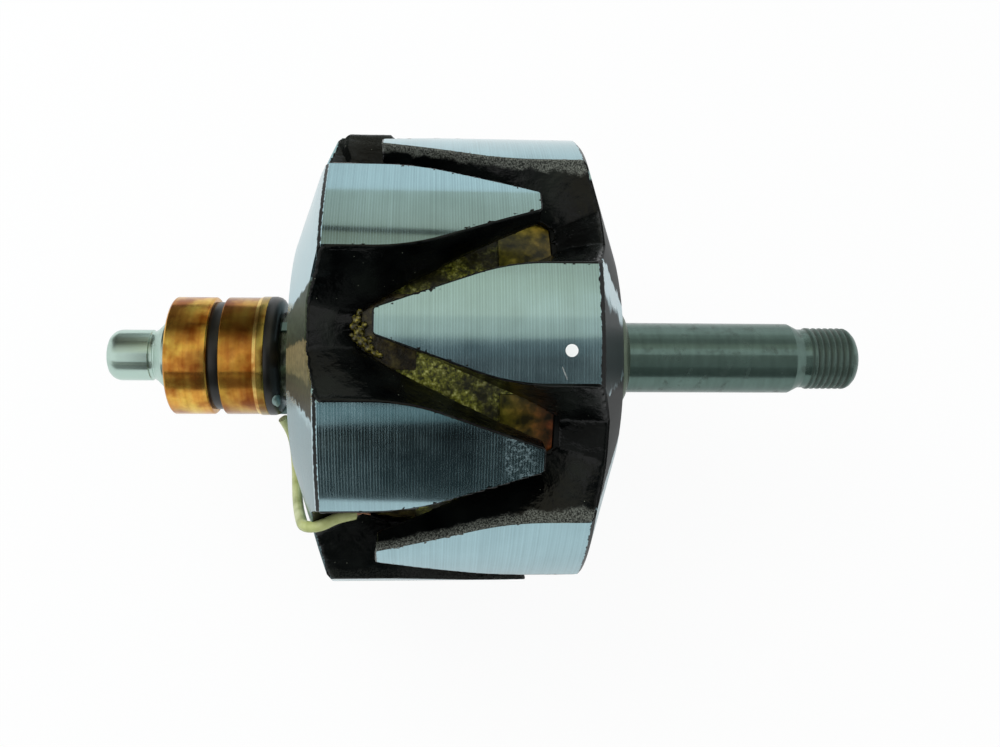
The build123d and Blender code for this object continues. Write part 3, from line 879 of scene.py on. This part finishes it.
class ROTOR_OT_coil(bpy.types.Operator):
    """Wraps the coil with its glass tape and finishes the end insulation and the resin"""

    bl_idname = "rotor.coil"
    bl_label = "Coil"

    def execute(self, context):
        tape = self.tape()
        dress(tape, self.tape_finish())
        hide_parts("coil_tape")
        fibre = self.petal_finish()
        soaked = mottled("resin_soaked_fibre", ["#14120a", "#262010", "#4a4320"], 0.25, 1.6, 0.25)
        wire = mottled("enamelled_copper", ["#4a2810", "#6a3c18"], 0.3, 2.0)
        plastic = mottled("bobbin_plastic", ["#100e0b", "#181510"], 0.5, 3.0)
        finishes = {
            "end_insulation_drive_end": fibre, "end_insulation_slip_end": soaked,
            "field_winding": wire, "coil_bobbin": plastic,
        }
        for node, material in finishes.items():
            repaint(node, material)
        drops = beads("resin_drops", [(polar(x, r, a), (1.3 * s, 1.3 * s, s)) for x, r, a, s in RESIN], 3)
        modify(drops, "REMESH", mode="VOXEL", voxel_size=0.16 * MM, use_smooth_shade=True)
        modify(drops, "SMOOTH", factor=0.5, iterations=7)
        # Dark amber resin: its palest mottle is painted glints on the lumps.
        amber_with_glints = mottled("amber_resin_painted_glints", ["#0c0a04", "#26220a", "#56511c", "#a89c48"], 0.07, 0.8, 0.2, 1.55)
        dress(drops, amber_with_glints)
        runs = beads("varnish_runs", [(polar(x, r, a), (s, s * 0.8, 0.5)) for x, r, a, s in VARNISH_RUNS], 3)
        dress(runs, mottled("green_varnish", ["#2a3018", "#48502c", "#5c6438"], 0.3, 1.2, 0.2))
        return {"FINISHED"}

    def tape(self):
        """A closed sleeve with lapped turns and a fuzzy face."""
        size = sizes()
        steps = round(2 * TAPE_HALF / TAPE_STEP)
        outer = [(-TAPE_HALF + 2 * TAPE_HALF * i / steps, TAPE_OUTER) for i in range(steps + 1)]
        profile = [(-TAPE_HALF, TAPE_INNER)] + outer + [(TAPE_HALF, TAPE_INNER)]
        tape = turned("glass_tape_wrap", profile, 480)
        for vertex in tape.data.vertices:
            radius = math.hypot(vertex.co.y, vertex.co.z) / MM
            if radius > (TAPE_INNER + TAPE_OUTER) / 2:
                turn = math.atan2(vertex.co.y, vertex.co.z) / (2 * math.pi)
                lap = (vertex.co.x / size.tape_width + turn) % 1.0
                fuzz = 0.7 * grain(vertex.co, 0.9) + 0.5 * grain(vertex.co, 2.4, 5.0)
                move_out(vertex, 1 + (LAP_RISE * lap + size.tape_fuzz / MM * fuzz) / radius)
        shade(tape, 60)
        return tape

    # Varnished fibre, olive under the resin and orange-brown at its far end, darker towards the floor.
    def petal_finish(self):
        material, tree = new_material("varnished_fibre")
        point, station, radius, angle = rotor_place(tree)
        patches = add(tree, "TexNoise", {"Vector": point, "Scale": 0.4, "Detail": 6.0})
        end = wandering(tree, station, point, 2.5, 2.2)
        share = add(tree, "MapRange", {0: end, 1: 9.0, 2: 19.0})
        olive, brown = [
            add(tree, "ValToRGB", {0: patches}, stops=list(zip((0.35, 0.52, 0.66), codes)))
            for codes in (("#2a280c", "#5c5818", "#8c8632"), ("#180a04", "#4e220a", "#7c3c12"))
        ]
        low = within(tree, angle, -60.0, -20.0, 4.0)
        low = add(tree, "MapRange", {0: low, 3: 0.35, 4: 0.95})
        tone = add(tree, "Mix", {0: all_of(tree, share, low), 6: olive, 7: brown}, **OVERLAID)
        height = add(tree, "Bump", {"Strength": 0.6, "Distance": 0.2 * MM, "Height": patches})
        close(tree, add(tree, "BsdfPrincipled", {
            "Base Color": tone, "Roughness": 0.3, "IOR": 1.5, "Specular IOR Level": 0.35, "Normal": height,
        }))
        return material

    # Woven glass tape soaked with yellow-green resin, darker where lacquer ran over it. Its fibre mottle is
    # partly its own tone and partly painted light: pale highlights on the raised fibres and painted shade in
    # the gaps.
    def tape_finish(self):
        material, tree = new_material("resin_glass_tape")
        point, station, radius, angle = rotor_place(tree)
        fibre_relief_and_painted_light = add(tree, "TexNoise", {"Vector": point, "Scale": 1.1, "Detail": 7.0, "Roughness": 0.7})
        # Painted highlights on the raised fibres and painted shade in the gaps, over the tape's own
        # yellow-green.
        tone = add(tree, "ValToRGB", {0: fibre_relief_and_painted_light}, stops=[
            (0.34, "#14150a"), (0.44, "#4c5014"), (0.54, tuple(colours().tape)), (0.64, "#e6e88c"),
        ])
        runs = add(tree, "TexNoise", {"Vector": point, "Scale": 0.13, "Detail": 3.0})
        middle = within(tree, station, *CLEAN_STATIONS, 3.0)
        bright = all_of(tree, middle, within(tree, angle, *CLEAN_ANGLES, 4.0))
        shift = add(tree, "MapRange", {0: bright, 3: 0.09, 4: -0.12})
        dark = add(tree, "Math", {0: runs, 1: shift}, operation="ADD")
        cover = add(tree, "ValToRGB", {0: dark}, stops=[(0.46, 0.0), (0.62, 0.9)])
        tone = add(tree, "Mix", {0: cover, 6: tone, 7: srgb("#1e1c0a")}, **OVERLAID)
        height = add(tree, "Bump", {"Strength": 0.8, "Distance": 0.35 * MM, "Height": fibre_relief_and_painted_light})
        close(tree, add(tree, "BsdfPrincipled", {
            "Base Color": tone, "Roughness": 0.28, "IOR": 1.5, "Normal": height,
        }))
        return material


# The lead's route, as (station, radius, angle), from the lug on the ring moulding to the coil.
SLEEVE_ROUTE = (
    (-40.9, 15.4, -124.0), (-39.3, 18.3, -127.0), (-38.2, 22.4, -126.0), (-37.4, 27.0, -119.0),
    (-36.6, 30.4, -109.0), (-35.7, 33.6, -99.5), (-34.5, 37.2, -90.0), (-33.1, 41.2, -81.2),
    (-31.9, 44.6, -76.0), (-28.4, 45.5, -73.8), (-25.2, 43.8, -73.4), (-23.2, 43.0, -73.8),
    (-21.4, 42.1, -75.0),
)
# The copper strands fan out of the sleeve's end, one for each angle, and sink into the coil's lacquer.
SLEEVE_RADIUS, STRAND_START = 1.2, -75.6
STRAND_ANGLES = (-75.2, -76.2, -77.2, -78.6, -80.6)


def round_lead(name, route, radius):
    """A smooth round lead along a route."""
    leave_edit()
    curve = bpy.data.curves.new(name, "CURVE")
    curve.dimensions = "3D"
    spline = curve.splines.new("NURBS")
    spline.points.add(len(route) - 1)
    for point, stop in zip(spline.points, route):
        point.co = (*polar(*stop), 1)
    spline.order_u = 3
    spline.use_endpoint_u = True
    spline.resolution_u = 12
    curve.bevel_depth = radius * MM
    curve.bevel_resolution = 5
    curve.use_fill_caps = True
    piece = bpy.data.objects.new(name, curve)
    bpy.context.scene.collection.objects.link(piece)
    pick(piece)
    bpy.ops.object.convert(target="MESH")
    piece = bpy.context.object
    bpy.ops.object.shade_smooth()
    return piece


class ROTOR_OT_lead(bpy.types.Operator):
    """Makes the sleeved lead from the slip rings to the coil"""

    bl_idname = "rotor.lead"
    bl_label = "Coil lead"

    def execute(self, context):
        cover = mottled("oiled_sleeve", ["#929c56", tuple(colours().sleeve), "#c6ce96"], 0.32, 4.0, 0.03)
        copper = mottled("bare_strands", ["#9a6a48", "#c09070"], 0.3, 2.0)
        sleeve = dress(round_lead("lead_sleeve", SLEEVE_ROUTE, SLEEVE_RADIUS), cover)
        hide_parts("coil_lead_sleeve")
        thin = sizes().strand_radius / MM
        for i, end in enumerate(STRAND_ANGLES):
            start = STRAND_START + 0.3 * i
            route = (
                (-21.9, 42.3, start), (-21.0, 42.0, start),
                (-19.6, 41.6 - 0.2 * i, (start + end) / 2), (-18.3, 40.2, end),
            )
            strand = dress(round_lead(f"lead_strand_{i + 1}", route, thin), copper)
            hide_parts("coil_lead_strand")
        return {"FINISHED"}


# The stage: a pale floor, pale surroundings, one soft lamp, and boards that only reflections see.
# Each board is bent round the shaft from a low to a high angle and from one station to another, and
# shades from the colour at its low angle to the one at its high angle.
MIDDLE, REAR, DRIVE = (-150, 170), (-900, -150), (170, 900)
BOARDS = (
    ("ceiling_far", (10, 38), MIDDLE, "#e6e4cb", "#a3a08b"),
    ("ceiling", (-4, 10), MIDDLE, "#ebe8d2", "#e6e4cb"),
    ("ceiling_near", (-13.4, -4), MIDDLE, "#c8c9ba", "#d3d3c1"),
    ("beam", (38, 41), MIDDLE, "#4c4e46", "#4c4e46"),
    ("wall", (41, 64), MIDDLE, "#c8c6b4", "#ced1c3"),
    ("window", (64, 104), MIDDLE, "#f2f8f8", "#e4eef0"),
    ("viewer_edge", (-17, -13.4), MIDDLE, "#5c6567", "#848a88"),
    ("viewer_top", (-22, -17), MIDDLE, "#545b5d", "#626b6d"),
    ("viewer_middle", (-46, -22), MIDDLE, "#3c4445", "#494d4f"),
    ("viewer_sleeve", (-54, -46), MIDDLE, "#566869", "#6a8082"),
    ("viewer_lower", (-62, -54), MIDDLE, "#0c0f10", "#1a1f20"),
    ("viewer_lap", (-91.9, -62), MIDDLE, "#343c3d", "#181c1d"),
    ("rear_wall", (28, 62), REAR, "#484642", "#4e4c48"),
    ("rear_window", (62, 95), REAR, "#62625e", "#6c6e6a"),
    ("rear_ceiling", (-12, 28), REAR, "#eeeee8", "#60605c"),
    ("rear_chair", (-59, -55), REAR, "#50524e", "#565854"),
    ("rear_seat", (-68, -59), REAR, "#a6a8a2", "#b0b2ac"),
    ("rear_table", (-91, -68), REAR, "#949694", "#8c8e8c"),
    ("drive_wall", (26, 45), DRIVE, "#a8aaa8", "#b0b2b0"),
    ("drive_window", (45, 63), DRIVE, "#c8cac8", "#d0d2d0"),
    ("drive_ceiling", (8, 26), DRIVE, "#e0e0d8", "#c8c8c0"),
    ("drive_viewer", (-55, -12), DRIVE, "#a6aaa8", "#b8bab6"),
    ("drive_table", (-91, -55), DRIVE, "#707674", "#8c908e"),
)
BOARD_RADIUS = 620
CAMERA_PLACE = Vector((-6.1925, -88.6459, 214.7246)) * MM
CAMERA_TURN = (25.4926, -3.2771, -1.0379)
CAMERA_SHIFT = (0.014944, -0.06775)
SENSOR = 36
NEAREST, FURTHEST = 0.005, 20
LAMP_PLACE, LAMP_SIZE = Vector((-0.35, 0.25, 0.6)), 0.5
FLOOR_LEVEL, FLOOR_RADIUS = -51.9, 2.5


class ROTOR_OT_stage(bpy.types.Operator):
    """Sets up the floor, the surroundings, the lamp and the camera"""

    bl_idname = "rotor.stage"
    bl_label = "Stage"

    def execute(self, context):
        scene = context.scene
        scene.view_settings.view_transform = "Standard"
        leave_edit()
        bpy.ops.mesh.primitive_circle_add(vertices=96, radius=FLOOR_RADIUS, fill_type="NGON")
        floor = new_piece("pale_floor")
        for vertex in floor.data.vertices:
            vertex.co.z = FLOOR_LEVEL * MM
        floor.data.materials.append(self.floor_finish())
        for board in BOARDS:
            self.board(*board)
        self.surroundings(scene)
        bpy.ops.object.light_add(type="AREA", location=LAMP_PLACE)
        lamp = context.object
        lamp.name = "soft_lamp"
        lamp.data.energy = studio().lamp_power
        lamp.data.size = LAMP_SIZE
        lamp.visible_glossy = False
        lamp.rotation_euler = (-LAMP_PLACE).to_track_quat("-Z", "Y").to_euler()
        bpy.ops.object.camera_add(location=CAMERA_PLACE)
        camera = context.object
        camera.rotation_euler = [math.radians(turn) for turn in CAMERA_TURN]
        camera.data.sensor_width = SENSOR
        camera.data.lens = studio().lens
        camera.data.shift_x, camera.data.shift_y = CAMERA_SHIFT
        camera.data.clip_start = NEAREST
        camera.data.clip_end = FURTHEST
        scene.camera = camera
        return {"FINISHED"}

    def floor_finish(self):
        # A sheet of matt white paper: nearly all of what the camera sees of it is its own white.
        material, tree = new_material("matt_white_paper")
        paper = add(tree, "BsdfDiffuse", {"Color": srgb("#eef2f2")})
        white = add(tree, "Emission", {"Color": (1, 1, 1, 1), "Strength": 1.0})
        direct = self.seen(tree, ("Camera", "Transmission"))
        level = add(tree, "MapRange", {0: direct, 3: 0.35, 4: 0.93})
        share = all_of(tree, self.seen(tree), level)
        mixed = add(tree, "MixShader", {0: share, 1: paper, 2: white})
        close(tree, mixed)
        return material

    def seen(self, tree, kinds=("Camera", "Glossy", "Transmission")):
        """1 for rays of some kinds, and 0 for all others."""
        return any_of(tree, *[add(tree, "LightPath", out=f"Is {kind} Ray") for kind in kinds])

    def board(self, name, angles, stations, low_code, high_code):
        # Painted board that gives off its own plain colour.
        material, tree = new_material("board_" + name)
        angle = rotor_place(tree)[3]
        share = add(tree, "MapRange", {0: angle, 1: angles[0], 2: angles[1]})
        tone = add(tree, "Mix", {0: share, 6: srgb(low_code), 7: srgb(high_code)}, **OVERLAID)
        close(tree, add(tree, "Emission", {"Color": tone, "Strength": 1.0}))
        piece = wrapped("board_" + name, stations, angles, BOARD_RADIUS, 1, 16)
        piece.data.materials.append(material)
        for ray in ("camera", "diffuse", "shadow", "transmission"):
            setattr(piece, "visible_" + ray, False)

    def surroundings(self, scene):
        world = bpy.data.worlds.new("pale_surroundings")
        scene.world = world
        world.use_nodes = True
        tree = world.node_tree
        tree.nodes.clear()
        seen = self.seen(tree)
        level = add(tree, "MapRange", {0: seen, 3: studio().ambient, 4: 1.0})
        light = add(tree, "Background", {"Color": (1, 1, 1, 1), "Strength": level})
        output = tree.nodes.new("ShaderNodeOutputWorld")
        tree.links.new(light, output.inputs["Surface"])


OPERATORS = (
    ROTOR_OT_stage, ROTOR_OT_wheels, ROTOR_OT_marks, ROTOR_OT_shaft, ROTOR_OT_slip_rings, ROTOR_OT_coil,
    ROTOR_OT_lead,
)


class VIEW3D_PT_rotor(bpy.types.Panel):
    """The rotor's pieces, sizes and colours"""

    bl_label = "Alternator rotor"
    bl_space_type = "VIEW_3D"
    bl_region_type = "UI"
    bl_category = "Rotor"

    def draw(self, context):
        for operator in OPERATORS:
            self.layout.operator(operator.bl_idname)
        for group in (sizes(), colours(), studio()):
            box = self.layout.box()
            for key in type(group).__annotations__:
                box.prop(group, key)


GROUPS = {"rotor_sizes": RotorSizes, "rotor_colours": RotorColours, "rotor_studio": RotorStudio}


def register():
    for name, group in GROUPS.items():
        bpy.utils.register_class(group)
        setattr(bpy.types.Scene, name, bpy.props.PointerProperty(type=group))
    for operator in OPERATORS:
        bpy.utils.register_class(operator)
    bpy.utils.register_class(VIEW3D_PT_rotor)


def unregister():
    bpy.utils.unregister_class(VIEW3D_PT_rotor)
    for operator in reversed(OPERATORS):
        bpy.utils.unregister_class(operator)
    for name, group in GROUPS.items():
        delattr(bpy.types.Scene, name)
        bpy.utils.unregister_class(group)


def main():
    """Builds the stage and every piece."""
    register()
    for operator in OPERATORS:
        group, _, name = operator.bl_idname.partition(".")
        getattr(getattr(bpy.ops, group), name)()


if __name__ == "__main__":
    main()
